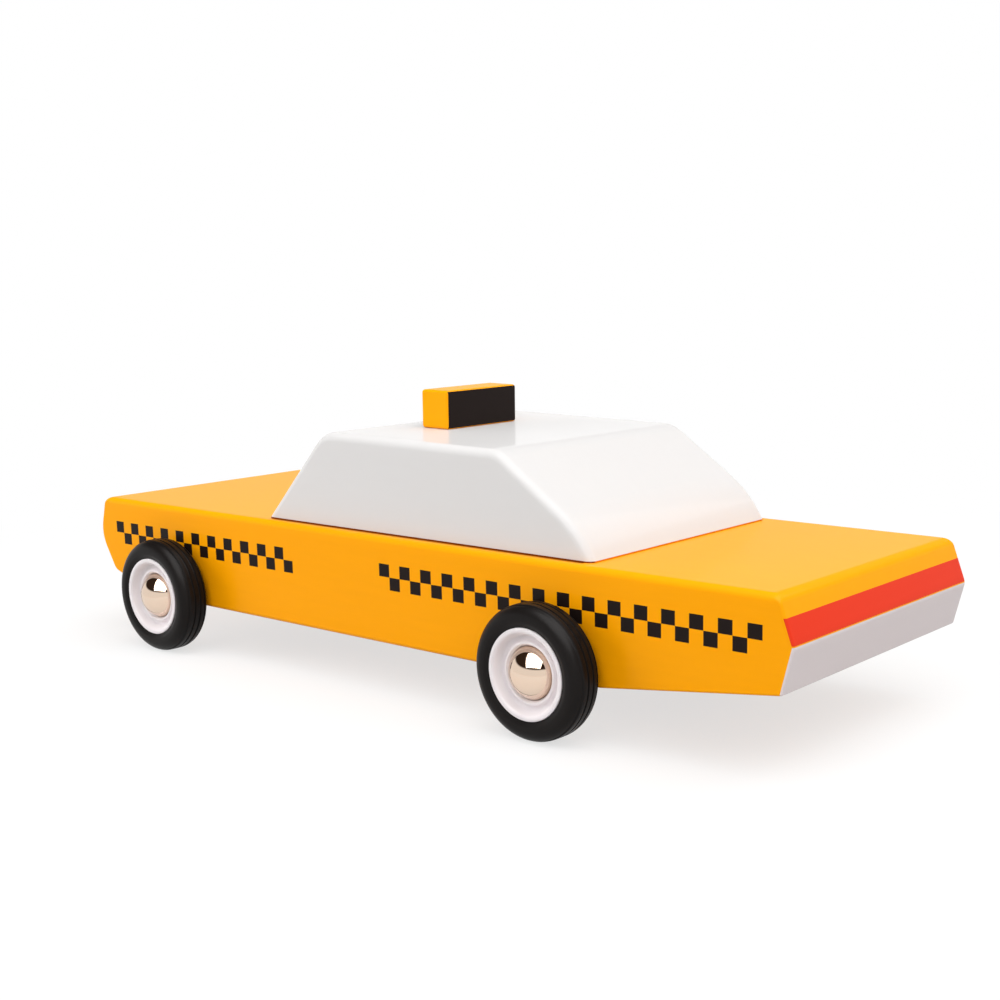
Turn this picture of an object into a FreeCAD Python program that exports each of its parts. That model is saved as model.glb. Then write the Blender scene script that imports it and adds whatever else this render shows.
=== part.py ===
"""Wooden toy saloon car on four free-turning wheels.

Frame: origin on the floor under the middle of the body, +X towards the nose,
+Y towards the car's left side, +Z up. Lengths are in millimetres.
"""
import FreeCAD, Part
import math
import os

V = FreeCAD.Vector

# Body block
body_length = 179.0
body_width = 59.15
deck_height = 30.15
ground_clearance = 9.7
deck_edge_round = 1.3
end_edge_round = 0.4
belly_edge_round = 0.8

# Tail of the body block, seen from the side
tail_ridge_height = 22.3
tail_upper_lean = 2.9
tail_lower_lean = 2.07
tail_foot_height = 14.45
tail_deck_round = 2.1
tail_ridge_round = 2.2
tail_foot_round = 0.5
tail_rise_offset = 9.7

# Nose of the body block, seen from the side
nose_ridge_height = 21.7
nose_upper_lean = 2.4
nose_lower_lean = 4.6
nose_foot_height = 14.0
nose_deck_round = 2.0
nose_ridge_round = 7.3
nose_foot_round = 2.4
nose_rise_offset = 9.7
belly_bend_round = 12.0

# Cabin block
cabin_width = 54.3
cabin_tail_inset = 40.2
cabin_nose_inset = 55.0
roof_rear_height = 47.8
roof_front_height = 48.5
roof_rear_inset = 21.2
roof_front_inset = 17.5
rear_window_bend_inset = 2.9
rear_window_bend_rise = 5.3
rear_window_bend_share = 0.96
roof_rear_round = 6.9
roof_front_round = 6.6
cabin_edge_round = 1.6
cabin_root_depth = 4.0

# Roof sign
sign_length = 20.0
sign_depth = 7.2
sign_height = 7.5
sign_place_share = 0.693
sign_edge_round = 0.6

# Axles
rear_overhang = 47.45
front_overhang = 27.15
axle_diameter = 2.4
axle_seat_clearance = 0.03
axle_end_chamfer = 0.3

# Tyres
tyre_diameter = 23.8
tyre_width = 6.6
tyre_body_gap = 0.65
tyre_bulge = 0.4
tyre_bulge_place_share = 0.25
tyre_shoulder_round = 2.2
tyre_side_round = 1.5
tyre_crown = 0.15
rim_seat_clearance = 0.05

# Rims
rim_diameter = 16.1
rim_lip_recess = 0.2
rim_lip_thickness = 1.1
rim_lip_width = 0.9
rim_lip_round = 0.5
rim_seat_depth = 0.9
rim_valley_depth = 2.7
rim_valley_place_share = 0.4
rim_valley_round_share = 0.9
rim_back_inset = 0.4
rim_back_flange = 0.9
hub_boss_diameter = 6.4
hub_body_gap = 0.3
hub_bore_clearance = 0.08
collar_width = 1.2
collar_drop = 2.1
collar_chamfer = 0.2

# Domed axle caps
cap_dome_diameter = 8.3
cap_base_drop = 2.2
cap_flange_width = 0.55
cap_flange_thickness = 0.5
cap_rim_clearance = 0.15
cap_socket_clearance = 0.02
cap_crown_wall = 1.8

# Places that follow from the sizes above
tyre_radius = tyre_diameter / 2
axle_height = tyre_radius
half_length = body_length / 2
half_width = body_width / 2
rear_axle_x = rear_overhang - half_length
front_axle_x = half_length - front_overhang
axle_radius = axle_diameter / 2
tyre_inner_y = half_width + tyre_body_gap
tyre_outer_y = tyre_inner_y + tyre_width
rim_lip_y = tyre_outer_y - rim_lip_recess
cap_base_y = rim_lip_y - cap_base_drop
cap_apex_y = cap_base_y + cap_dome_diameter / 2
axle_end_y = cap_apex_y - cap_crown_wall


def corner_arc(before, corner, after, radius):
    """Start, middle, end and centre of the arc that rounds one corner of an outline."""
    to_before = (before - corner).normalize()
    to_after = (after - corner).normalize()
    half_angle = to_before.getAngle(to_after) / 2
    setback = radius / math.tan(half_angle)
    bisector = (to_before + to_after).normalize()
    centre = corner + bisector * (radius / math.sin(half_angle))
    return corner + to_before * setback, centre - bisector * radius, corner + to_after * setback, centre


def fitting_round(before, corner, after, share):
    """Radius whose rounding takes the given share of the shorter of a corner's two sides."""
    to_before = before - corner
    to_after = after - corner
    room = min(to_before.Length, to_after.Length)
    return room * share * math.tan(to_before.getAngle(to_after) / 2)


def rounded_wire(corners):
    """Closed wire through (point, radius) corners; a zero radius keeps a sharp corner."""
    edges = []
    starts = []
    ends = []
    for index, (point, radius) in enumerate(corners):
        before = corners[index - 1][0]
        after = corners[(index + 1) % len(corners)][0]
        if radius > 0:
            first, middle, last, _ = corner_arc(before, point, after, radius)
            edges.append(Part.Arc(first, middle, last).toShape())
        else:
            first, last = point, point
        starts.append(first)
        ends.append(last)
    for index, end in enumerate(ends):
        start = starts[(index + 1) % len(starts)]
        if (start - end).Length > Part.Precision.confusion():
            edges.append(Part.LineSegment(end, start).toShape())
    return Part.Wire(Part.sortEdges(edges)[0])


def ridge_loss(upper_lean, lower_lean, upper_rise, lower_drop, radius):
    """How far the rounding of an end's ridge keeps it back from its sharp corner, along X."""
    upper = V(-upper_lean, 0, upper_rise)
    lower = V(-lower_lean, 0, -lower_drop)
    centre = corner_arc(upper, V(0, 0, 0), lower, radius)[3]
    return -centre.x - radius


def side_profile(corners, width):
    """Block with the given outline in the XZ plane, centred across the car."""
    outline = [(V(x, -width / 2, z), radius) for x, z, radius in corners]
    face = Part.Face(rounded_wire(outline))
    return face.extrude(V(0, width, 0))


def turned(corners):
    """Solid of revolution about the Y axis from (radius, y, rounding) corners."""
    outline = [(V(r, y, 0), rounding) for r, y, rounding in corners]
    return Part.Face(rounded_wire(outline)).revolve(V(0, 0, 0), V(0, 1, 0), math.degrees(math.tau))


def level(first, second):
    return abs(first - second) < Part.Precision.confusion()


def on_side(edge, width):
    """Whether an edge lies in one of the two side planes of a block of this width."""
    box = edge.BoundBox
    return level(box.YMin, box.YMax) and level(abs(box.YMin), width / 2)


def with_rounded_sides(block, width, round_at):
    """Block whose side outlines are rounded by the radius that round_at gives at each edge's ends."""
    document = FreeCAD.newDocument()
    base = document.addObject("Part::Feature", "base")
    base.Shape = block
    rounded = document.addObject("Part::Fillet", "rounded")
    rounded.Base = base
    radii = []
    for number, edge in enumerate(block.Edges, start=1):
        if on_side(edge, width):
            first = edge.valueAt(edge.FirstParameter)
            last = edge.valueAt(edge.LastParameter)
            radii.append((number, round_at(first), round_at(last)))
    rounded.Edges = radii
    document.recompute()
    shape = rounded.Shape.copy()
    FreeCAD.closeDocument(document.Name)
    return shape


def cross_bore(x, radius):
    """Cutter for a bore right across the car at axle height."""
    return Part.makeCylinder(radius, body_width, V(x, -half_width, axle_height), V(0, 1, 0))


def body_block():
    tail_loss = ridge_loss(tail_upper_lean, tail_lower_lean, deck_height - tail_ridge_height,
                           tail_ridge_height - tail_foot_height, tail_ridge_round)
    nose_loss = ridge_loss(nose_upper_lean, nose_lower_lean, deck_height - nose_ridge_height,
                           nose_ridge_height - nose_foot_height, nose_ridge_round)
    tail = -half_length - tail_loss
    nose = half_length + nose_loss
    corners = [
        (rear_axle_x - tail_rise_offset, ground_clearance, belly_bend_round),
        (tail + tail_lower_lean, tail_foot_height, tail_foot_round),
        (tail, tail_ridge_height, tail_ridge_round),
        (tail + tail_upper_lean, deck_height, tail_deck_round),
        (nose - nose_upper_lean, deck_height, nose_deck_round),
        (nose, nose_ridge_height, nose_ridge_round),
        (nose - nose_lower_lean, nose_foot_height, nose_foot_round),
        (front_axle_x + nose_rise_offset, ground_clearance, belly_bend_round),
    ]
    def round_at(point):
        if level(point.z, deck_height):
            return deck_edge_round
        return belly_edge_round if level(point.z, ground_clearance) else end_edge_round
    block = with_rounded_sides(side_profile(corners, body_width), body_width, round_at)
    for x in (rear_axle_x, front_axle_x):
        block = block.cut(cross_bore(x, axle_radius + axle_seat_clearance))
    return block


def at_height(first, second, height):
    """Point at this height on the line through two (x, z) points."""
    share = (height - first[1]) / (second[1] - first[1])
    return first[0] + (second[0] - first[0]) * share, height


def cabin_block():
    """White block, rounded a little below the deck and then cut level with it."""
    foot_rear = (cabin_tail_inset - half_length, deck_height)
    foot_front = (half_length - cabin_nose_inset, deck_height)
    roof_rear = (foot_rear[0] + roof_rear_inset, roof_rear_height)
    roof_front = (foot_front[0] - roof_front_inset, roof_front_height)
    bend = (foot_rear[0] + rear_window_bend_inset, deck_height + rear_window_bend_rise)
    bend_round = fitting_round(V(*foot_rear), V(*bend), V(*roof_rear), rear_window_bend_share)
    root = deck_height - cabin_root_depth
    corners = [
        (*at_height(bend, foot_rear, root), 0),
        (*bend, bend_round),
        (*roof_rear, roof_rear_round),
        (*roof_front, roof_front_round),
        (*at_height(roof_front, foot_front, root), 0),
    ]
    block = side_profile(corners, cabin_width)
    def is_rounded(edge):
        return on_side(edge, cabin_width) and not level(edge.BoundBox.ZMax, root)
    block = block.makeFillet(cabin_edge_round, list(filter(is_rounded, block.Edges)))
    below = Part.makeBox(body_length, body_width, cabin_root_depth, V(-half_length, -half_width, root))
    return block.cut(below)


def roof_sign():
    foot_x = cabin_tail_inset - half_length + roof_rear_inset
    head_x = half_length - cabin_nose_inset - roof_front_inset
    pitch = math.atan2(roof_front_height - roof_rear_height, head_x - foot_x)
    sign_x = foot_x + (head_x - foot_x) * sign_place_share - sign_depth / 2
    sign_z = roof_rear_height + (sign_x - foot_x) * math.tan(pitch)
    sign = Part.makeBox(sign_depth, sign_length, sign_height, V(0, -sign_length / 2, 0))
    sign = sign.makeFillet(sign_edge_round, sign.Edges)
    sign.rotate(V(0, 0, 0), V(0, 1, 0), -math.degrees(pitch))
    sign.translate(V(sign_x, 0, sign_z))
    return sign


def axle(x):
    rod = Part.makeCylinder(axle_radius, 2 * axle_end_y, V(x, -axle_end_y, axle_height), V(0, 1, 0))
    rims = [edge for edge in rod.Edges if edge.BoundBox.YLength < Part.Precision.confusion()]
    return rod.makeChamfer(axle_end_chamfer, rims)


def tyre():
    seat = rim_diameter / 2 - rim_seat_depth + rim_seat_clearance
    bead = rim_diameter / 2 + rim_seat_clearance
    side_outer = tyre_outer_y - tyre_bulge
    side_inner = tyre_inner_y + tyre_bulge
    middle = (tyre_inner_y + tyre_outer_y) / 2
    lip_floor = rim_lip_y - rim_lip_thickness - rim_seat_clearance
    back_floor = tyre_inner_y + rim_back_inset + rim_back_flange + rim_seat_clearance
    side_radius = bead + (tyre_radius - bead) * tyre_bulge_place_share
    return turned([
        (seat, back_floor, 0),
        (bead, back_floor, 0),
        (bead, side_inner, 0),
        (side_radius, tyre_inner_y, tyre_side_round),
        (tyre_radius - tyre_crown, tyre_inner_y, tyre_shoulder_round),
        (tyre_radius, middle, tyre_width),
        (tyre_radius - tyre_crown, tyre_outer_y, tyre_shoulder_round),
        (side_radius, tyre_outer_y, tyre_side_round),
        (bead, side_outer, 0),
        (bead, lip_floor, 0),
        (seat, lip_floor, 0),
    ])


def rim():
    outer = rim_diameter / 2
    seat = outer - rim_seat_depth
    back = tyre_inner_y + rim_back_inset
    lip_inner = outer - rim_lip_width
    recess = cap_dome_diameter / 2 + cap_flange_width + cap_rim_clearance
    collar = recess + collar_width
    collar_top = rim_lip_y - collar_drop
    collar_shoulder = V(collar, collar_top - collar_chamfer, 0)
    valley_radius = collar + (lip_inner - collar) * rim_valley_place_share
    valley = V(valley_radius, rim_lip_y - rim_valley_depth, 0)
    valley_round = fitting_round(V(lip_inner, rim_lip_y, 0), valley, collar_shoulder, rim_valley_round_share)
    recess_floor = cap_base_y - cap_flange_thickness - cap_rim_clearance
    boss = hub_boss_diameter / 2
    bore = axle_radius + hub_bore_clearance
    return turned([
        (bore, half_width + hub_body_gap, 0),
        (boss, half_width + hub_body_gap, 0),
        (boss, back, 0),
        (outer, back, 0),
        (outer, back + rim_back_flange, 0),
        (seat, back + rim_back_flange, 0),
        (seat, rim_lip_y - rim_lip_thickness, 0),
        (outer, rim_lip_y - rim_lip_thickness, 0),
        (outer, rim_lip_y, 0),
        (lip_inner, rim_lip_y, rim_lip_round),
        (valley.x, valley.y, valley_round),
        (collar_shoulder.x, collar_shoulder.y, 0),
        (collar - collar_chamfer, collar_top, 0),
        (recess + collar_chamfer, collar_top, 0),
        (recess, collar_top - collar_chamfer, 0),
        (recess, recess_floor, 0),
        (bore, recess_floor, 0),
    ])


def axle_cap():
    dome = cap_dome_diameter / 2
    flange = dome + cap_flange_width
    flange_back = cap_base_y - cap_flange_thickness
    cap = Part.makeSphere(dome, V(0, cap_base_y, 0), V(0, 1, 0), 0, math.degrees(math.pi / 2))
    base = Part.makeCylinder(flange, cap_flange_thickness, V(0, flange_back, 0), V(0, 1, 0))
    socket_depth = axle_end_y - flange_back + axle_end_chamfer
    socket = Part.makeCylinder(axle_radius + cap_socket_clearance, socket_depth, V(0, flange_back, 0), V(0, 1, 0))
    return cap.fuse(base).removeSplitter().cut(socket)


def placed(shape, x, side):
    """Copy of a wheel part set on the axle at x; side is 1 for left and -1 for right."""
    copy = shape.copy()
    if side < 0:
        copy.rotate(V(0, 0, 0), V(0, 0, 1), math.degrees(math.pi))
    copy.translate(V(x, 0, axle_height))
    return copy


def build():
    nodes = {
        "body_block": body_block(),
        "cabin_block": cabin_block(),
        "roof_sign": roof_sign(),
    }
    wheel_parts = {"tyre": tyre(), "rim": rim(), "axle_cap": axle_cap()}
    for end, x in (("front", front_axle_x), ("rear", rear_axle_x)):
        nodes[f"axle_{end}"] = axle(x)
        for hand, side in (("left", 1), ("right", -1)):
            for name, shape in wheel_parts.items():
                nodes[f"{name}_{end}_{hand}"] = placed(shape, x, side)
    return nodes


if __name__ == "__main__":
    os.makedirs("parts", exist_ok=True)
    for name, shape in build().items():
        shape.exportStep(f"parts/{name}.step")
        print(name, shape.isValid(), len(shape.Solids), round(shape.Volume, 1))
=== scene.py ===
"""Looks for a wooden toy taxi: painted blocks, printed bands, turned wheels and a stage."""

import bpy
import math
from bpy.props import FloatProperty, FloatVectorProperty, IntProperty, PointerProperty
from mathutils import Euler, Matrix, Vector


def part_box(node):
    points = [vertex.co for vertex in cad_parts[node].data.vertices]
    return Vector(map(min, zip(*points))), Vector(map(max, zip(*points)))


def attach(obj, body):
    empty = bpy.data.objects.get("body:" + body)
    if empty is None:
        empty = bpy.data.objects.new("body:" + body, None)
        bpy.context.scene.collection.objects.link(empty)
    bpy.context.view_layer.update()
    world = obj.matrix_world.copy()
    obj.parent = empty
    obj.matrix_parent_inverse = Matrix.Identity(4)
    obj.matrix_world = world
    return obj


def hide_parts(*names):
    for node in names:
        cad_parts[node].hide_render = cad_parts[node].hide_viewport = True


bl_info = {
    "name": "Wooden Toy Taxi",
    "version": (1, 0, 0),
    "blender": (4, 5, 0),
    "location": "View3D > Sidebar > Toy Taxi",
    "description": "Dresses the packed toy taxi with paint, prints, wheels and a studio stage",
    "category": "Object",
}

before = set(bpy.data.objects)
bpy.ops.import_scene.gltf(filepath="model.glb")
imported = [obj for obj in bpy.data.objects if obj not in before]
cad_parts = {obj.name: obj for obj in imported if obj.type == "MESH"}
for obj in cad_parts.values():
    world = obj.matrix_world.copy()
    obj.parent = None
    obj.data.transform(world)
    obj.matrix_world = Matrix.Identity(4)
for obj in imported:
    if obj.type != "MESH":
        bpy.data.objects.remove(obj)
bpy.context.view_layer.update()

MM = 0.001
SEAT_DEPTH = 0.9 * MM
LIP_THICKNESS = 1.1 * MM
BACK_THICKNESS = 0.9 * MM
BACK_INSET = 0.4 * MM
WHEELS = [(end, hand) for end in ("front", "rear") for hand in ("left", "right")]
body_low, body_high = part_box("body_block")
cabin_low, cabin_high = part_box("cabin_block")
sign_low, sign_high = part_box("roof_sign")
tyre_low, tyre_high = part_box("tyre_rear_left")
rim_low, rim_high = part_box("rim_rear_left")
cap_low, cap_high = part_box("axle_cap_rear_left")
axle_low, axle_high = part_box("axle_rear")


class ToyPaint(bpy.types.PropertyGroup):
    """Colours as they look on screen."""
    body_yellow: FloatVectorProperty(
        name="Body yellow", description="Paint of the body block",
        default=(1.0, 0.65, 0.0), size=3, min=0, max=1, subtype="COLOR_GAMMA")
    cabin_white: FloatVectorProperty(
        name="Cabin white", description="Paint of the cabin block",
        default=(0.85, 0.843, 0.839), size=3, min=0, max=1, subtype="COLOR_GAMMA")
    # Painted shade: the dark joint along the cabin's sides and the shade on the deck beside it.
    seam_shade_brown: FloatVectorProperty(
        name="Seam brown",
        description="Joint along the cabin's sides and the deck's shade beside it",
        default=(0.46, 0.19, 0.0), size=3, min=0, max=1, subtype="COLOR_GAMMA")
    # Painted shade: the dark joint along the cabin's front and rear foot.
    seam_shade_orange: FloatVectorProperty(
        name="Seam orange", description="Joint along the cabin's front and rear windows",
        default=(0.80, 0.42, 0.0), size=3, min=0, max=1, subtype="COLOR_GAMMA")
    sign_yellow: FloatVectorProperty(
        name="Sign yellow", description="Paint of the roof sign's ends and top",
        default=(1.0, 0.65, 0.0), size=3, min=0, max=1, subtype="COLOR_GAMMA")
    print_black: FloatVectorProperty(
        name="Print black", description="Ink of the check bands and the sign's faces",
        default=(0.11, 0.075, 0.065), size=3, min=0, max=1, subtype="COLOR_GAMMA")
    tail_red: FloatVectorProperty(
        name="Tail red", description="Band of tail lamps across the upper tail",
        default=(0.89, 0.22, 0.11), size=3, min=0, max=1, subtype="COLOR_GAMMA")
    tail_grey: FloatVectorProperty(
        name="Tail grey", description="Bumper band across the lower tail",
        default=(0.89, 0.85, 0.85), size=3, min=0, max=1, subtype="COLOR_GAMMA")
    tyre_black: FloatVectorProperty(
        name="Tyre black", description="Rubber of the tyres",
        default=(0.07, 0.056, 0.052), size=3, min=0, max=1, subtype="COLOR_GAMMA")
    rim_white: FloatVectorProperty(
        name="Rim white", description="Moulded plastic of the rims",
        default=(0.925, 0.898, 0.905), size=3, min=0, max=1, subtype="COLOR_GAMMA")
    cap_nickel: FloatVectorProperty(
        name="Cap nickel", description="Plated axle caps",
        default=(0.90, 0.81, 0.73), size=3, min=0, max=1, subtype="COLOR_GAMMA")
    axle_steel: FloatVectorProperty(
        name="Axle steel", description="Drawn steel of the axles",
        default=(0.62, 0.61, 0.60), size=3, min=0, max=1, subtype="COLOR_GAMMA")


class ToyPrint(bpy.types.PropertyGroup):
    """Sizes and places of what is printed on the wood, and of the painted shade at the cabin's
    foot.
    """
    check_width: FloatProperty(
        name="Check width", description="Length of one check along the side",
        default=2.70 * MM, subtype="DISTANCE", unit="LENGTH")
    check_height: FloatProperty(
        name="Check height", description="Height of one check",
        default=2.446 * MM, subtype="DISTANCE", unit="LENGTH")
    check_top: FloatProperty(
        name="Check top", description="Height of the bands' upper edge over the floor",
        default=25.13 * MM, subtype="DISTANCE", unit="LENGTH")
    front_band_x: FloatProperty(
        name="Front band start", description="Place of the front band's foremost edge",
        default=83.78 * MM, subtype="DISTANCE", unit="LENGTH")
    front_band_columns: IntProperty(
        name="Front band columns", description="Checks along the front band", default=22, min=1)
    rear_band_x: FloatProperty(
        name="Rear band start", description="Place of the rear band's foremost edge",
        default=-0.35 * MM, subtype="DISTANCE", unit="LENGTH")
    rear_band_columns: IntProperty(
        name="Rear band columns", description="Checks along the rear band", default=31, min=1)
    ridge_height: FloatProperty(
        name="Tail ridge height",
        description="Height of the ridge between the red and the grey band",
        default=22.3 * MM, subtype="DISTANCE", unit="LENGTH")
    tail_gap: FloatProperty(
        name="Tail gap", description="Yellow line left between the red and the grey band",
        default=0.2 * MM, subtype="DISTANCE", unit="LENGTH")
    # Painted shade: the dark joint line round the cabin's foot is this high.
    shaded_seam_height: FloatProperty(
        name="Seam height", description="Height of the joint line round the cabin's foot",
        default=0.26 * MM, subtype="DISTANCE", unit="LENGTH")
    # Painted shade on the deck beside the cabin fades out over this width.
    deck_shade_fade: FloatProperty(
        name="Seam fade", description="Width over which the deck's shade fades away from the cabin",
        default=1.2 * MM, subtype="DISTANCE", unit="LENGTH")
    red_top: FloatProperty(
        name="Red band top", description="Height of the red band's upper edge",
        default=26.6 * MM, subtype="DISTANCE", unit="LENGTH")


class ToyWheel(bpy.types.PropertyGroup):
    """Sizes of the turned wheel pieces."""
    segments: IntProperty(
        name="Segments", description="Facets round each turned piece", default=128, min=24)
    groove_width: FloatProperty(
        name="Groove width", description="Width of a groove in the tread",
        default=0.45 * MM, subtype="DISTANCE", unit="LENGTH")
    groove_depth: FloatProperty(
        name="Groove depth", description="Depth of a groove in the tread",
        default=0.28 * MM, subtype="DISTANCE", unit="LENGTH")
    groove_places: FloatVectorProperty(
        name="Groove places", description="Places of the grooves across the tread, from its middle",
        default=(-1.9 * MM, -0.65 * MM, 0.65 * MM, 1.9 * MM), size=4,
        subtype="NONE", unit="LENGTH")
    dome_radius: FloatProperty(
        name="Dome radius", description="Radius of the ball that an axle cap's dome is part of",
        default=5.0 * MM, subtype="DISTANCE", unit="LENGTH")
    dome_edge: FloatProperty(
        name="Dome edge", description="How far short of a half ball the dome stops",
        default=math.radians(22), subtype="ANGLE", unit="ROTATION")
    dome_sink: FloatProperty(
        name="Dome sink", description="How far the dome's top lies inside the packed cap's",
        default=0.45 * MM, subtype="DISTANCE", unit="LENGTH")


class ToyStage(bpy.types.PropertyGroup):
    """Camera of the stage: its place, direction, lens and framing shift."""
    camera_place: FloatVectorProperty(
        name="Camera place", description="Where the camera stands",
        default=(-0.2009, 0.2176, 0.0783), size=3, subtype="TRANSLATION", unit="LENGTH")
    camera_heading: FloatProperty(
        name="Heading", description="Direction of view in plan, from +X towards +Y",
        default=-0.8711, subtype="ANGLE", unit="ROTATION")
    camera_pitch: FloatProperty(
        name="Pitch", description="Direction of view above the horizon",
        default=-0.1922, subtype="ANGLE", unit="ROTATION")
    camera_roll: FloatProperty(
        name="Roll", description="Turn of the camera about its own line of view",
        default=-0.0163, subtype="ANGLE", unit="ROTATION")
    camera_lens: FloatProperty(
        name="Lens", description="Focal length on a 36 mm sensor", default=53.63, unit="CAMERA")
    shift_x: FloatProperty(name="Shift X", description="Framing shift sideways", default=-0.052)
    shift_y: FloatProperty(name="Shift Y", description="Framing shift upwards", default=0.060)


def settings():
    """The values that the panel shows."""
    return bpy.context.scene.toy_taxi


def linear(colour):
    """Colour as it looks on screen, in the linear values that a shader takes."""
    knee, gain, offset, power = 0.04045, 12.92, 0.055, 2.4
    channels = [c / gain if c <= knee else ((c + offset) / (1 + offset)) ** power for c in colour]
    return (*channels, 1)


def scaled(colour, share):
    """Linear colour made paler or darker."""
    return (*(channel * share for channel in colour[:3]), 1)


def deselect_all():
    """Leaves edit mode and leaves nothing selected."""
    if bpy.context.mode != "OBJECT":
        bpy.ops.object.mode_set(mode="OBJECT")
    bpy.ops.object.select_all(action="DESELECT")


def new_material(name):
    """Empty material with its Principled shader and the piece's own coordinates."""
    material = bpy.data.materials.new(name)
    material.use_nodes = True
    tree = material.node_tree
    shader = tree.nodes["Principled BSDF"]
    coords = tree.nodes.new("ShaderNodeTexCoord").outputs["Object"]
    return material, tree, shader, coords


def add_node(tree, kind, inputs=None, **options):
    """Node with its options set and its inputs given as values or linked from sockets."""
    node = tree.nodes.new(kind)
    for option, value in options.items():
        setattr(node, option, value)
    for key, value in (inputs or {}).items():
        if isinstance(value, bpy.types.NodeSocket):
            tree.links.new(value, node.inputs[key])
        else:
            node.inputs[key].default_value = value
    return node


def calc(tree, operation, *values):
    """Output of a Math node."""
    return add_node(tree, "ShaderNodeMath", dict(enumerate(values)), operation=operation).outputs[0]


def blend_colour(tree, share, first, second):
    """First colour where share is 0, second where it is 1."""
    factor, colour_a, colour_b, result = 0, 6, 7, 2
    inputs = {factor: share, colour_a: first, colour_b: second}
    return add_node(tree, "ShaderNodeMix", inputs, data_type="RGBA").outputs[result]


def both(tree, first, second):
    """1 where both values are 1."""
    return calc(tree, "MULTIPLY", first, second)


def between(tree, value, low, high):
    """1 where value lies between low and high."""
    above = calc(tree, "GREATER_THAN", value, low)
    below = calc(tree, "LESS_THAN", value, high)
    return both(tree, above, below)


def axes(tree, coords):
    """The coordinates' X, Y and Z."""
    return add_node(tree, "ShaderNodeSeparateXYZ", {0: coords}).outputs


def set_sockets(shader, values):
    """Plain values for the shader's own sockets."""
    for name, value in values.items():
        shader.inputs[name].default_value = value


def grain(tree, coords):
    """Noise drawn out along the car, as the wood's grain is."""
    along_the_car = (18, 160, 160)
    mapping = add_node(tree, "ShaderNodeMapping", {"Vector": coords, "Scale": along_the_car})
    inputs = {"Vector": mapping.outputs[0], "Scale": 4, "Detail": 4, "Roughness": 0.6}
    return add_node(tree, "ShaderNodeTexNoise", inputs).outputs["Fac"]


def mottle(tree, coords, scale, detail):
    """Even noise, for what is moulded or plated."""
    inputs = {"Vector": coords, "Scale": scale, "Detail": detail}
    return add_node(tree, "ShaderNodeTexNoise", inputs).outputs["Fac"]


def relief(tree, shader, height, strength, depth):
    """Fine relief of the surface."""
    inputs = {"Height": height, "Strength": strength, "Distance": depth}
    bump = add_node(tree, "ShaderNodeBump", inputs)
    tree.links.new(bump.outputs[0], shader.inputs["Normal"])


def lacquer(shader, coat, coat_index):
    """Satin paint under a thin clear coat."""
    set_sockets(shader, {
        "Roughness": 0.4, "Specular IOR Level": 0.05,
        "Coat Weight": coat, "Coat Roughness": 0.04, "Coat IOR": coat_index})


def check_band(tree, x, z, front, columns, look):
    """1 on the dark checks of one band of two rows."""
    column = calc(tree, "DIVIDE", calc(tree, "SUBTRACT", front, x), look.check_width)
    row = calc(tree, "DIVIDE", calc(tree, "SUBTRACT", look.check_top, z), look.check_height)
    inside = both(tree, between(tree, column, 0, columns), between(tree, row, 0, 2))
    place = calc(tree, "ADD", calc(tree, "FLOOR", column), calc(tree, "FLOOR", row))
    even = calc(tree, "LESS_THAN", calc(tree, "FLOORED_MODULO", place, 2), 0.5)
    return both(tree, inside, even)


def painted(name, colour, streak, coat, coat_index):
    """Lacquered paint through which the wood's grain shows faintly, as strongly as streak says."""
    material, tree, shader, coords = new_material(name)
    streaks = grain(tree, coords)
    plain = linear(colour)
    paint = blend_colour(tree, streaks, plain, scaled(plain, 1 - streak))
    relief(tree, shader, streaks, strength=2 * streak, depth=0.05 * MM)
    lacquer(shader, coat, coat_index)
    return material, tree, shader, coords, paint


def dress(node_name, material):
    """Gives a CAD node its finish."""
    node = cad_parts[node_name]
    if node.material_slots:
        node.material_slots[0].material = material
    else:
        node.data.materials.append(material)


def foot_shade(tree, x, y, z, fade):
    """Shade on the deck along the cabin's sides: 1 at the foot, 0 where it has faded away."""
    corner, deck_skin = 1.6 * MM, 0.4 * MM
    gap = calc(tree, "SUBTRACT", calc(tree, "ABSOLUTE", y), cabin_high.y)
    falloff = {"Value": gap, "From Min": 0.0, "From Max": fade, "To Min": 1.0, "To Max": 0.0}
    shade = add_node(tree, "ShaderNodeMapRange", falloff).outputs[0]
    beside = between(tree, x, cabin_low.x + corner, cabin_high.x - corner)
    on_deck = calc(tree, "GREATER_THAN", z, body_high.z - deck_skin)
    return calc(tree, "MULTIPLY", shade, both(tree, beside, on_deck))


def on_tail(tree, x, z, look):
    """1 on the two leaning faces of the tail."""
    upper_lean, lower_lean = 0.369, 0.264
    skin = 0.3 * MM
    above = calc(tree, "MAXIMUM", calc(tree, "SUBTRACT", z, look.ridge_height), 0.0)
    below = calc(tree, "MAXIMUM", calc(tree, "SUBTRACT", look.ridge_height, z), 0.0)
    lean = calc(
        tree, "ADD",
        calc(tree, "MULTIPLY", above, upper_lean),
        calc(tree, "MULTIPLY", below, lower_lean))
    face_x = calc(tree, "ADD", body_low.x + skin, lean)
    return calc(tree, "LESS_THAN", x, face_x)


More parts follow.
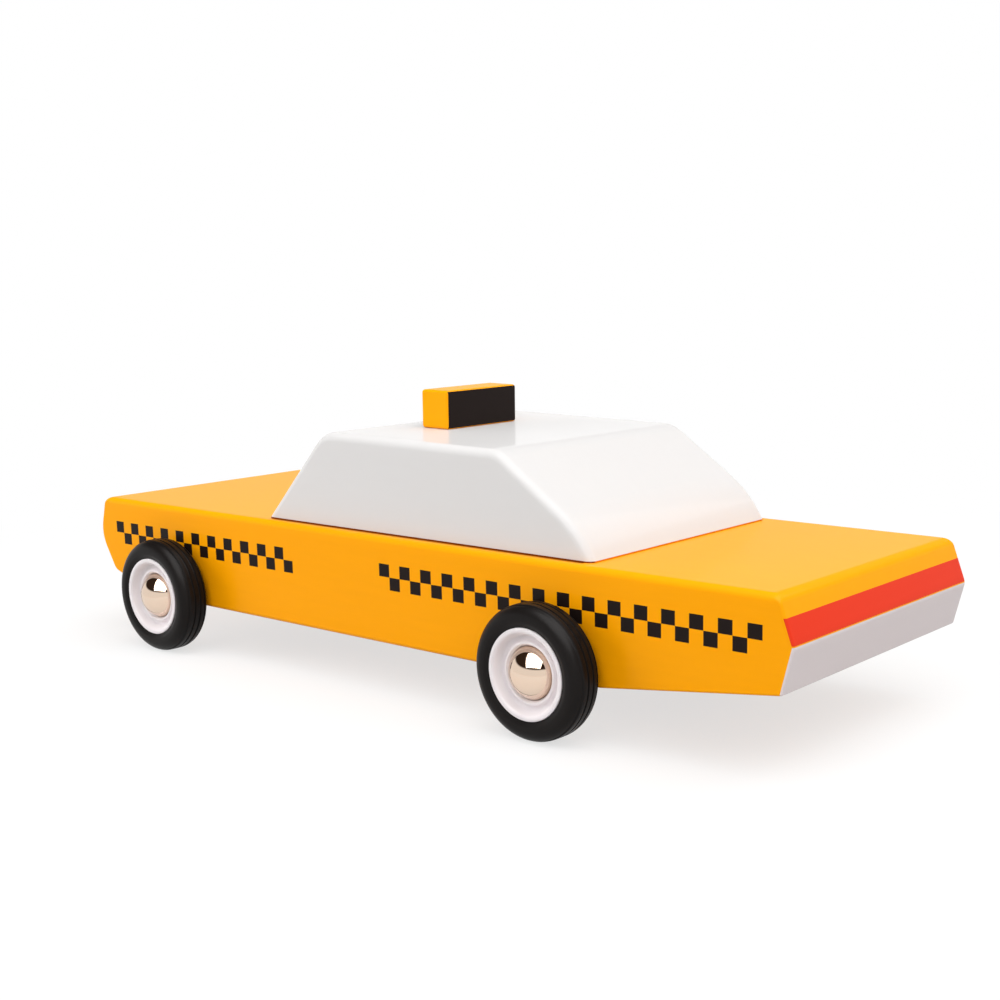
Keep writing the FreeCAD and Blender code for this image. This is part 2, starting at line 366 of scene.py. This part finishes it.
def body_paint():
    """Yellow lacquer with the check bands, the red tail band, the grey bumper band and a painted
    shade on the deck beside the cabin.
    """
    paint = settings().paint
    look = settings().prints
    material, tree, shader, coords, colour = painted(
        "body_yellow_lacquer", paint.body_yellow, streak=0.06, coat=0.13, coat_index=1.3)
    x, y, z = axes(tree, coords)
    # Painted shade on the deck along the cabin's sides, darkest at the cabin's foot.
    shade = foot_shade(tree, x, y, z, look.deck_shade_fade)
    colour = blend_colour(tree, shade, colour, linear(paint.seam_shade_brown))
    bands = calc(
        tree, "MAXIMUM",
        check_band(tree, x, z, look.front_band_x, look.front_band_columns, look),
        check_band(tree, x, z, look.rear_band_x, look.rear_band_columns, look))
    colour = blend_colour(tree, bands, colour, linear(paint.print_black))
    tail = on_tail(tree, x, z, look)
    red = both(tree, tail, between(tree, z, look.ridge_height + look.tail_gap, look.red_top))
    grey = both(tree, tail, calc(tree, "LESS_THAN", z, look.ridge_height))
    colour = blend_colour(tree, red, colour, linear(paint.tail_red))
    colour = blend_colour(tree, grey, colour, linear(paint.tail_grey))
    tree.links.new(colour, shader.inputs["Base Color"])
    return material


def cabin_paint():
    """White lacquer with a thin dark joint line at its foot, painted as the shade where the cabin
    stands on the deck.
    """
    paint = settings().paint
    material, tree, shader, coords, colour = painted(
        "cabin_white_lacquer", paint.cabin_white, streak=0.02, coat=0.3, coat_index=1.45)
    _, y, z = axes(tree, coords)
    # Painted shade: the cabin's lowest strip darkens where it meets the deck, brown on the sides
    # and orange at the ends.
    shaded_seam = calc(tree, "LESS_THAN", z, body_high.z + settings().prints.shaded_seam_height)
    side_margin = 1.0 * MM
    on_side = calc(tree, "GREATER_THAN", calc(tree, "ABSOLUTE", y), cabin_high.y - side_margin)
    line = blend_colour(tree, on_side, linear(paint.seam_shade_orange), linear(paint.seam_shade_brown))
    colour = blend_colour(tree, shaded_seam, colour, line)
    tree.links.new(colour, shader.inputs["Base Color"])
    return material


def sign_paint():
    """Yellow bar with black panels on its front and rear faces."""
    paint = settings().paint
    material, tree, shader, coords, colour = painted(
        "sign_yellow_lacquer", paint.sign_yellow, streak=0.04, coat=0.13, coat_index=1.3)
    x, y, z = axes(tree, coords)
    face_skin, end_margin, top_margin, foot_margin = 0.45 * MM, 0.25 * MM, 0.3 * MM, 0.2 * MM
    middle_x = (sign_low.x + sign_high.x) / 2
    depth = (sign_high.x - sign_low.x) / 2
    offset = calc(tree, "ABSOLUTE", calc(tree, "SUBTRACT", x, middle_x))
    on_face = calc(tree, "GREATER_THAN", offset, depth - face_skin)
    inside_ends = calc(tree, "LESS_THAN", calc(tree, "ABSOLUTE", y), sign_high.y - end_margin)
    under_top = calc(tree, "LESS_THAN", z, sign_high.z - top_margin)
    over_foot = calc(tree, "GREATER_THAN", z, sign_low.z + foot_margin)
    panel = both(tree, both(tree, on_face, over_foot), both(tree, inside_ends, under_top))
    colour = blend_colour(tree, panel, colour, linear(paint.print_black))
    tree.links.new(colour, shader.inputs["Base Color"])
    return material


def rubber():
    """Black rubber with a soft sheen and a fine mottle."""
    material, tree, shader, coords = new_material("tyre_rubber")
    specks = mottle(tree, coords, scale=900, detail=3)
    black = linear(settings().paint.tyre_black)
    colour = blend_colour(tree, specks, black, scaled(black, 1.25))
    tree.links.new(colour, shader.inputs["Base Color"])
    relief(tree, shader, specks, strength=0.15, depth=0.03 * MM)
    set_sockets(shader, {"Roughness": 0.36, "Specular IOR Level": 0.12})
    return material


def moulded_plastic():
    """White plastic that lets a little light in."""
    material, tree, shader, coords = new_material("rim_plastic")
    cloud = mottle(tree, coords, scale=250, detail=2)
    white = linear(settings().paint.rim_white)
    colour = blend_colour(tree, cloud, white, scaled(white, 0.97))
    tree.links.new(colour, shader.inputs["Base Color"])
    set_sockets(shader, {
        "Roughness": 0.35, "Specular IOR Level": 0.3, "Subsurface Weight": 0.5,
        "Subsurface Radius": (1, 0.95, 1), "Subsurface Scale": 0.8 * MM})
    return material


def metal(name, colour, roughness):
    """Bare or plated metal, a little duller in patches."""
    material, tree, shader, coords = new_material(name)
    haze = mottle(tree, coords, scale=400, detail=3)
    spread = {"Value": haze, "To Min": roughness * 0.7, "To Max": roughness * 1.3}
    rough = add_node(tree, "ShaderNodeMapRange", spread)
    tree.links.new(rough.outputs[0], shader.inputs["Roughness"])
    tint = linear(colour)
    colour = blend_colour(tree, haze, tint, scaled(tint, 0.95))
    tree.links.new(colour, shader.inputs["Base Color"])
    set_sockets(shader, {"Metallic": 1})
    return material


def rounded(corners, steps=7):
    """Profile through corners given as radius, place along the axle and rounding."""
    points = []
    for index, (radius, along, rounding) in enumerate(corners):
        corner = Vector((radius, along))
        if not rounding:
            points.append(corner)
            continue
        before = Vector(corners[index - 1][:2]) - corner
        after = Vector(corners[(index + 1) % len(corners)][:2]) - corner
        before.normalize()
        after.normalize()
        half = before.angle(after) / 2
        centre = corner + (before + after).normalized() * (rounding / math.sin(half))
        first = corner + before * (rounding / math.tan(half)) - centre
        last = corner + after * (rounding / math.tan(half)) - centre
        for step in range(steps + 1):
            points.append(centre + first.lerp(last, step / steps).normalized() * rounding)
    return points


def turned(name, profile, height, closed):
    """Piece turned about an axle at x = 0, ring by ring; an open profile is closed by two poles."""
    deselect_all()
    merge_distance, crease = 0.0001 * MM, math.radians(35)
    radius, along = profile[0]
    bpy.ops.mesh.primitive_circle_add(
        vertices=settings().wheel.segments, radius=radius,
        location=(0, along, height), rotation=(math.pi / 2, 0, 0))
    piece = bpy.context.active_object
    piece.name = piece.data.name = name
    bpy.ops.object.transform_apply(location=True, rotation=True, scale=True)
    bpy.ops.object.mode_set(mode="EDIT")
    bpy.ops.mesh.select_mode(type="VERT")
    bpy.ops.mesh.select_all(action="SELECT")
    for next_radius, next_along in profile[1:] + (profile[:1] if closed else []):
        bpy.ops.mesh.extrude_region_move(
            TRANSFORM_OT_translate={"value": (0, next_along - along, 0)})
        ratio = next_radius / radius
        bpy.ops.transform.resize(value=(ratio, 1, ratio), center_override=(0, next_along, height))
        radius, along = next_radius, next_along
    if closed:
        bpy.ops.mesh.select_all(action="SELECT")
        bpy.ops.mesh.remove_doubles(threshold=merge_distance)
    else:
        bpy.ops.mesh.merge(type="CENTER")
        bpy.ops.mesh.select_all(action="DESELECT")
        bpy.ops.mesh.select_non_manifold(extend=False)
        bpy.ops.mesh.extrude_region_move()
        bpy.ops.mesh.merge(type="CENTER")
    bpy.ops.mesh.select_all(action="SELECT")
    bpy.ops.mesh.normals_make_consistent(inside=False)
    bpy.ops.object.mode_set(mode="OBJECT")
    bpy.ops.object.shade_smooth_by_angle(angle=crease)
    return piece


def set_on_wheels(master, finish, node_name, body_name):
    """Copies a turned piece to the four wheels and lets each copy stand for its CAD node."""
    master.data.materials.append(finish)
    for end, hand in WHEELS:
        low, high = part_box(node_name.format(end=end, hand=hand))
        deselect_all()
        master.select_set(True)
        bpy.context.view_layer.objects.active = master
        bpy.ops.object.duplicate(linked=False)
        copy = bpy.context.active_object
        copy.name = copy.data.name = f"{master.name}_{end}_{hand}"
        if hand == "right":
            bpy.ops.transform.rotate(
                value=math.pi, orient_axis="Z", center_override=(0, 0, 0))
        bpy.ops.transform.translate(value=((low.x + high.x) / 2, 0, 0))
        bpy.ops.object.transform_apply(location=True, rotation=True, scale=True)
        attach(copy, body_name.format(end=end, hand=hand))
        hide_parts(node_name.format(end=end, hand=hand))
    bpy.data.objects.remove(master)


def tread_outline(radius, middle, half, shoulder, crown):
    """Points across the tread, inner side first: round shoulders, slight crown and grooves."""
    wheel = settings().wheel
    groove_section = ((-0.5, 0), (-0.3, 0.8), (0, 1), (0.3, 0.8), (0.5, 0))
    groove_room = 0.6 * wheel.groove_width

    def height(offset):
        past = max(abs(offset) - (half - shoulder), 0) / shoulder
        level = min(abs(offset), half - shoulder) / half
        drop = shoulder - shoulder * math.sqrt(max(1 - past ** 2, 0))
        return radius - crown * level ** 2 - drop

    steps = 24
    places = list(wheel.groove_places)
    points = []
    for step in range(-steps, steps + 1):
        offset = half * math.sin(math.pi / 2 * step / steps)
        if all(abs(offset - place) > groove_room for place in places):
            points.append((height(offset), middle + offset, 0))
    for place in places:
        for share, fall in groove_section:
            offset = place + share * wheel.groove_width
            points.append((height(offset) - fall * wheel.groove_depth, middle + offset, 0))
    return sorted(points, key=lambda point: point[1])


def tyre_profile():
    """Outline of the tyre: a bulged side wall and a rounded, grooved tread over the rim's seat."""
    clearance, bulge = 0.05 * MM, 0.4 * MM
    side_round, shoulder, crown = 1.5 * MM, 2.2 * MM, 0.15 * MM
    outer, inner = tyre_high.y, tyre_low.y
    middle, half = (outer + inner) / 2, (outer - inner) / 2
    radius = (tyre_high.z - tyre_low.z) / 2
    bead = (rim_high.z - rim_low.z) / 2 + clearance
    seat = bead - SEAT_DEPTH
    lip_floor = rim_high.y - LIP_THICKNESS - clearance
    back_floor = inner + BACK_INSET + BACK_THICKNESS + clearance
    side = bead + (radius - bead) / 4
    return rounded([
        (seat, back_floor, 0),
        (bead, back_floor, 0),
        (bead, inner + bulge, 0),
        (side, inner, side_round),
        *tread_outline(radius, middle, half, shoulder, crown),
        (side, outer, side_round),
        (bead, outer - bulge, 0),
        (bead, lip_floor, 0),
        (seat, lip_floor, 0),
    ])


def rim_profile():
    """Outline of the rim: rounded lip, dished bowl and a soft ridge that closes round the cap."""
    hub, lip_width = 3.2 * MM, 0.9 * MM
    cap_gap, ridge_width, valley_share = 0.12 * MM, 0.57 * MM, 0.47
    dish_depth, ridge_depth, recess_depth = 2.65 * MM, 0.875 * MM, 1.65 * MM
    cap_room, bore_clearance = 0.15 * MM, 0.08 * MM
    outer = (rim_high.z - rim_low.z) / 2
    lip = rim_high.y
    lip_back = lip - LIP_THICKNESS
    lip_inner = outer - lip_width
    back = tyre_low.y + BACK_INSET
    back_front = back + BACK_THICKNESS
    seat = outer - SEAT_DEPTH
    recess = cap_edge()[0] + cap_gap
    ridge = recess + ridge_width
    valley = ridge + (lip_inner - ridge) * valley_share
    floor = cap_low.y - cap_room
    bore = (axle_high.z - axle_low.z) / 2 + bore_clearance
    return rounded([
        (bore, rim_low.y, 0),
        (hub, rim_low.y, 0),
        (hub, back, 0),
        (outer, back, 0),
        (outer, back_front, 0),
        (seat, back_front, 0),
        (seat, lip_back, 0),
        (outer, lip_back, 0),
        (outer, lip, 0.15 * MM),
        (lip_inner, lip, 0.6 * MM),
        (valley, lip - dish_depth, 0.55 * MM),
        (ridge, lip - ridge_depth, 0.3 * MM),
        (recess, lip - recess_depth, 0.15 * MM),
        (recess, floor, 0),
        (bore, floor, 0),
    ])


def dome_point(centre, turn):
    """Radius and place along the axle of a point on the dome, turned up from its centre."""
    radius = settings().wheel.dome_radius
    return radius * math.cos(turn), centre + radius * math.sin(turn)


def cap_edge():
    """Radius and place along the axle at which an axle cap's dome meets its skirt."""
    wheel = settings().wheel
    return dome_point(cap_high.y - wheel.dome_sink - wheel.dome_radius, wheel.dome_edge)


def cap_profile():
    """Outline of the axle cap: a dome on a short skirt, with the socket for the axle behind."""
    wheel = settings().wheel
    top = cap_high.y - wheel.dome_sink
    centre = top - wheel.dome_radius
    skirt, _ = cap_edge()
    socket_room, wall, chamfer = 0.02 * MM, 1.2 * MM, 0.1 * MM
    socket = (axle_high.z - axle_low.z) / 2 + socket_room
    points = [
        Vector((socket, top - wall)), Vector((socket, cap_low.y)),
        Vector((skirt - chamfer, cap_low.y)), Vector((skirt, cap_low.y + chamfer))]
    steps, pole_share = 40, 0.001
    for step in range(steps):
        turn = wheel.dome_edge + (math.pi / 2 - wheel.dome_edge) * step / steps
        points.append(Vector(dome_point(centre, turn)))
    points.append(Vector((wheel.dome_radius * pole_share, top)))
    return points


class TOY_OT_body(bpy.types.Operator):
    """Paint the body block and print its bands"""
    bl_idname = "toy.body"
    bl_label = "Body Block"

    def execute(self, context):
        dress("body_block", body_paint())
        return {"FINISHED"}


class TOY_OT_cabin(bpy.types.Operator):
    """Paint the cabin block"""
    bl_idname = "toy.cabin"
    bl_label = "Cabin Block"

    def execute(self, context):
        dress("cabin_block", cabin_paint())
        return {"FINISHED"}


class TOY_OT_sign(bpy.types.Operator):
    """Paint the roof sign"""
    bl_idname = "toy.sign"
    bl_label = "Roof Sign"

    def execute(self, context):
        dress("roof_sign", sign_paint())
        return {"FINISHED"}


class TOY_OT_wheels(bpy.types.Operator):
    """Finish the tyres, rims, caps and axles"""
    bl_idname = "toy.wheels"
    bl_label = "Wheels"

    def execute(self, context):
        paint = settings().paint
        height = (tyre_low.z + tyre_high.z) / 2
        tyre = turned("ribbed_tyre", tyre_profile(), height, closed=True)
        set_on_wheels(
            tyre, rubber(), "tyre_{end}_{hand}", "wheel_{end}_{hand}")
        rim = turned("dished_rim", rim_profile(), height, closed=True)
        set_on_wheels(
            rim, moulded_plastic(), "rim_{end}_{hand}", "wheel_{end}_{hand}")
        cap = turned("domed_cap", cap_profile(), height, closed=False)
        cap_finish = metal("cap_nickel", paint.cap_nickel, roughness=0.06)
        set_on_wheels(cap, cap_finish, "axle_cap_{end}_{hand}", "root")
        axle_finish = metal("axle_steel", paint.axle_steel, roughness=0.3)
        for end in ("front", "rear"):
            dress(f"axle_{end}", axle_finish)
        return {"FINISHED"}


def soft_box(name, place, size, power, lights=True, mirrored=True, target_height=0.02):
    """Lamp that faces the toy; it may light what is matt, show in what is glossy, or both."""
    lamp = bpy.data.lights.new(name, "AREA")
    lamp.shape = "RECTANGLE"
    lamp.size = lamp.size_y = size
    lamp.energy = power
    holder = bpy.data.objects.new(name, lamp)
    bpy.context.scene.collection.objects.link(holder)
    holder.location = place
    aim = Vector((0, 0, target_height)) - Vector(place)
    holder.rotation_euler = aim.to_track_quat("-Z", "Y").to_euler()
    holder.visible_camera = False
    holder.visible_diffuse = lights
    holder.visible_glossy = mirrored


def seen_rays(tree):
    """Two values: 1 for rays from camera, mirrors and glass; 1 for mirrors and glass alone."""
    rays = add_node(tree, "ShaderNodeLightPath").outputs
    mirrored = calc(tree, "MAXIMUM", rays["Is Glossy Ray"], rays["Is Transmission Ray"])
    return calc(tree, "MAXIMUM", rays["Is Camera Ray"], mirrored), mirrored


def floor_finish():
    """Matt white that keeps the toy's soft shadow and turns to plain white away from it."""
    material = bpy.data.materials.new("stage_floor")
    material.use_nodes = True
    tree = material.node_tree
    tree.nodes.clear()
    coords = add_node(tree, "ShaderNodeTexCoord").outputs["Object"]
    distance = add_node(
        tree, "ShaderNodeVectorMath", {0: coords}, operation="LENGTH").outputs["Value"]
    seen, mirrored = seen_rays(tree)
    fade_start, fade_end = 0.08, 0.24
    near_camera, near_mirror = 0.68, 0.50
    less = calc(tree, "MULTIPLY", mirrored, near_camera - near_mirror)
    near = calc(tree, "SUBTRACT", near_camera, less)
    fade = {
        "Value": distance, "From Min": fade_start, "From Max": fade_end,
        "To Min": near, "To Max": 1.0}
    away = add_node(
        tree, "ShaderNodeMapRange", fade, interpolation_type="SMOOTHSTEP").outputs[0]
    lit, shown = (0.46, 0.46, 0.46, 1), (0.82, 0.82, 0.82, 1)
    matt = add_node(
        tree, "ShaderNodeBsdfDiffuse", {"Color": blend_colour(tree, seen, lit, shown)})
    white = add_node(tree, "ShaderNodeEmission", {"Color": (1, 1, 1, 1), "Strength": 1.0})
    share = calc(tree, "MULTIPLY", seen, away)
    mixed = add_node(
        tree, "ShaderNodeMixShader", {0: share, 1: matt.outputs[0], 2: white.outputs[0]})
    add_node(tree, "ShaderNodeOutputMaterial", {"Surface": mixed.outputs[0]})
    return material


def world_light():
    """Even soft fill, white behind the toy, and a dark ceiling for the metal to mirror."""
    world = bpy.data.worlds.new("studio")
    bpy.context.scene.world = world
    world.use_nodes = True
    tree = world.node_tree
    tree.nodes.clear()
    seen, mirrored = seen_rays(tree)
    white, dark = (1, 1, 1, 1), (0.035, 0.022, 0.016, 1)
    ceiling_edge, ceiling_full = 0.26, 0.36
    room_strength = 0.3
    direction = add_node(tree, "ShaderNodeTexCoord").outputs["Generated"]
    rise = axes(tree, direction)["Z"]
    spread = {"Value": rise, "From Min": ceiling_edge, "From Max": ceiling_full}
    ceiling = add_node(
        tree, "ShaderNodeMapRange", spread, interpolation_type="SMOOTHSTEP").outputs[0]
    ceiling = calc(tree, "MULTIPLY", ceiling, mirrored)
    colour = blend_colour(tree, ceiling, white, dark)
    room = add_node(tree, "ShaderNodeBackground", {"Color": white, "Strength": room_strength})
    shown = add_node(tree, "ShaderNodeBackground", {"Color": colour, "Strength": 1.0})
    mixed = add_node(
        tree, "ShaderNodeMixShader", {0: seen, 1: room.outputs[0], 2: shown.outputs[0]})
    add_node(tree, "ShaderNodeOutputWorld", {"Surface": mixed.outputs[0]})


class TOY_OT_stage(bpy.types.Operator):
    """Set up the floor, lamps, world and camera"""
    bl_idname = "toy.stage"
    bl_label = "Studio Stage"

    def execute(self, context):
        stage = settings().stage
        scene = context.scene
        scene.view_settings.view_transform = "Standard"
        deselect_all()
        bpy.ops.mesh.primitive_plane_add(size=6, location=(0, 0, 0))
        floor = context.active_object
        floor.name = "stage_floor"
        floor.data.materials.append(floor_finish())
        world_light()
        soft_box("key_box", (-0.28, 0.32, 0.62), size=1.0, power=6.0, mirrored=False)
        soft_box("gloss_box", (-0.17, 0.40, 0.62), size=0.85, power=11.0, lights=False)
        soft_box("back_box", (-0.26, -0.22, 0.64), size=0.8, power=3.2)
        soft_box("side_box", (0.52, 0.36, 0.2), size=0.4, power=2.1, mirrored=False)
        soft_box(
            "fill_box", (0.05, -0.5, 0.14), size=0.3, power=0.5, mirrored=False,
            target_height=0.03)
        camera = bpy.data.cameras.new("photo_camera")
        camera.sensor_width = 36
        camera.lens = stage.camera_lens
        camera.shift_x = stage.shift_x
        camera.shift_y = stage.shift_y
        camera.clip_start = 0.01
        holder = bpy.data.objects.new("photo_camera", camera)
        scene.collection.objects.link(holder)
        quarter = math.pi / 2
        level = Euler((quarter + stage.camera_pitch, 0, stage.camera_heading - quarter))
        roll = Matrix.Rotation(stage.camera_roll, 3, "Z")
        turn = (level.to_matrix() @ roll).to_4x4()
        holder.matrix_world = Matrix.Translation(stage.camera_place) @ turn
        scene.camera = holder
        return {"FINISHED"}


OPERATORS = (TOY_OT_body, TOY_OT_cabin, TOY_OT_sign, TOY_OT_wheels, TOY_OT_stage)


class ToyTaxi(bpy.types.PropertyGroup):
    """All settings of the toy taxi."""
    paint: PointerProperty(type=ToyPaint, name="Paint", description="Colours of the toy")
    prints: PointerProperty(type=ToyPrint, name="Prints", description="Printed bands")
    wheel: PointerProperty(type=ToyWheel, name="Wheels", description="Turned wheel pieces")
    stage: PointerProperty(type=ToyStage, name="Stage", description="Camera and lamps")


class TOY_PT_panel(bpy.types.Panel):
    """Toy taxi in the 3D view's sidebar"""
    bl_idname = "TOY_PT_panel"
    bl_label = "Wooden Toy Taxi"
    bl_space_type = "VIEW_3D"
    bl_region_type = "UI"
    bl_category = "Toy Taxi"

    def draw(self, context):
        for group in (settings().paint, settings().prints, settings().wheel, settings().stage):
            box = self.layout.box()
            for name in group.bl_rna.properties.keys():
                if name not in ("rna_type", "name"):
                    box.prop(group, name)
        for operator in OPERATORS:
            self.layout.operator(operator.bl_idname)


CLASSES = (ToyPaint, ToyPrint, ToyWheel, ToyStage, ToyTaxi, *OPERATORS, TOY_PT_panel)


def register():
    for cls in CLASSES:
        bpy.utils.register_class(cls)
    bpy.types.Scene.toy_taxi = PointerProperty(
        type=ToyTaxi, name="Toy taxi", description="Settings of the toy taxi")


def unregister():
    del bpy.types.Scene.toy_taxi
    for cls in reversed(CLASSES):
        bpy.utils.unregister_class(cls)


def main():
    register()
    bpy.ops.toy.body()
    bpy.ops.toy.cabin()
    bpy.ops.toy.sign()
    bpy.ops.toy.wheels()
    bpy.ops.toy.stage()


if __name__ == "__main__":
    main()
